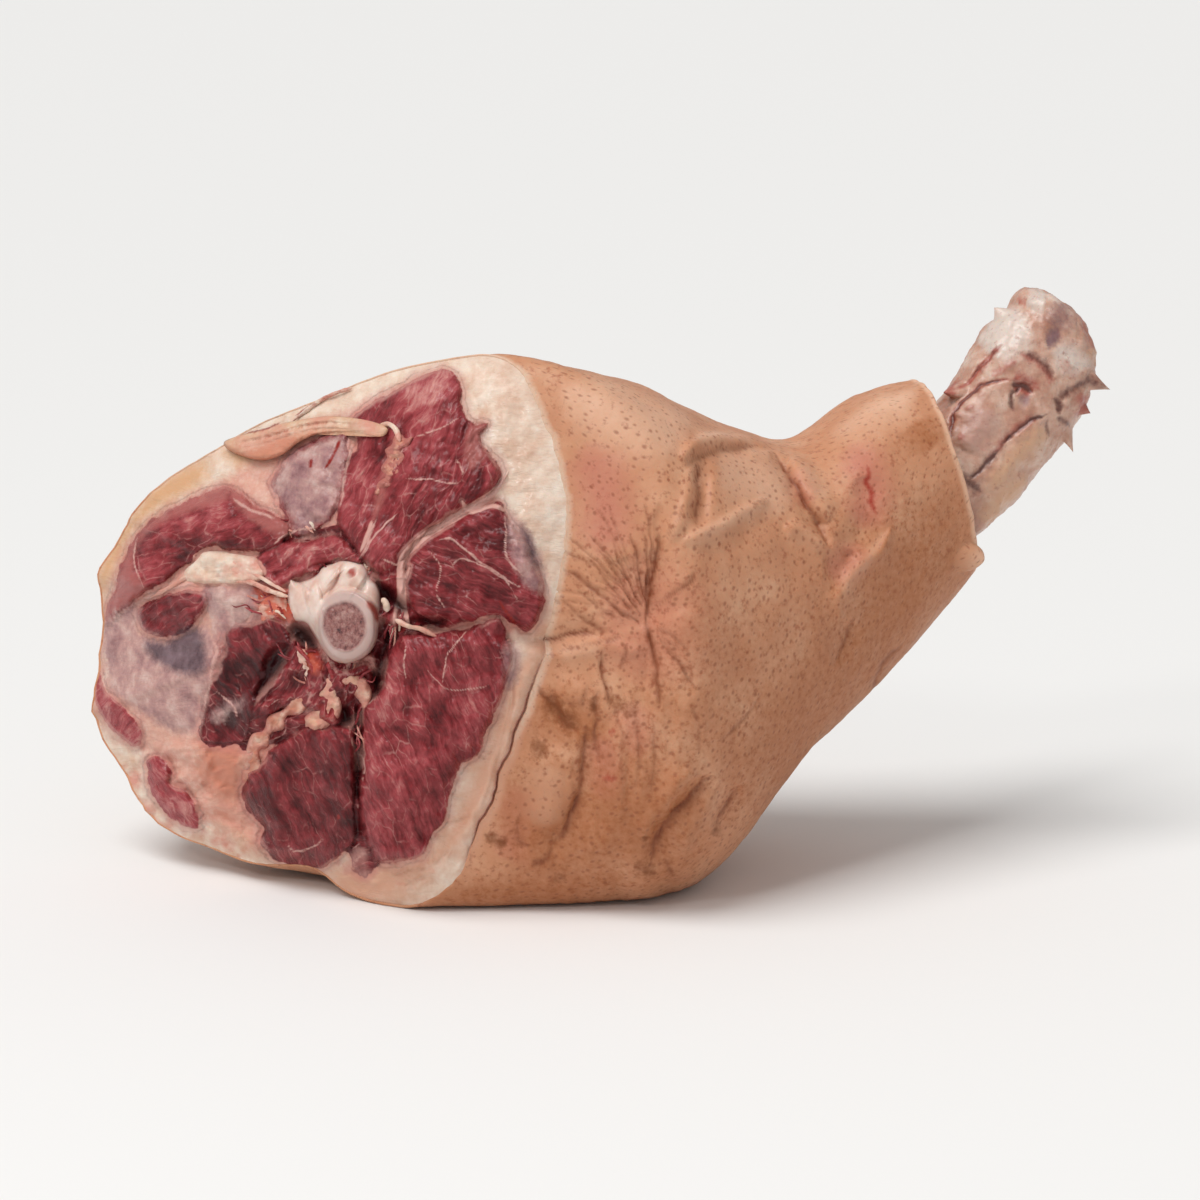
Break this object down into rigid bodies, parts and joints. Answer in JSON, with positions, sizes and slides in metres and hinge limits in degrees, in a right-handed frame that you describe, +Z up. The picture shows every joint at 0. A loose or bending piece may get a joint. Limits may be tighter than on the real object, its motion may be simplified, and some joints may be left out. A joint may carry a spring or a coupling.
{
  "type": "raw pork leg",
  "caption": "Whole raw pork leg lying on its front edge: rind and fat around lean muscle bared at an oblique cut, a sawn hip bone knob, and a bare hock above the rind's open end.",
  "frame": {"origin": "middle of the leg's box, on the surface that it rests on", "axes": "+X runs from the cut end towards the hock, +Y away from the side that the cut face shows on, +Z up"},
  "size_m": [0.5436, 0.2152, 0.2984],
  "materials": {
    "rind": "scalded pork rind, tan, moist, with pores and folds; cream fat at its cut edge",
    "lean_meat": "raw lean pork leg muscle, moist, dusky red, with fat seams and silvery membrane",
    "bone": "sawn raw bone with cartilage, moist, cream with a spongy pink core",
    "sinew": "bare hock of sinew and cartilage, moist, pinkish cream with dark red grooves"
  },
  "bodies": {
    "root": {"rind_and_fat": "rind", "lean": "lean_meat", "hip_bone": "bone", "hock": "sinew"}
  },
  "joints": []
}
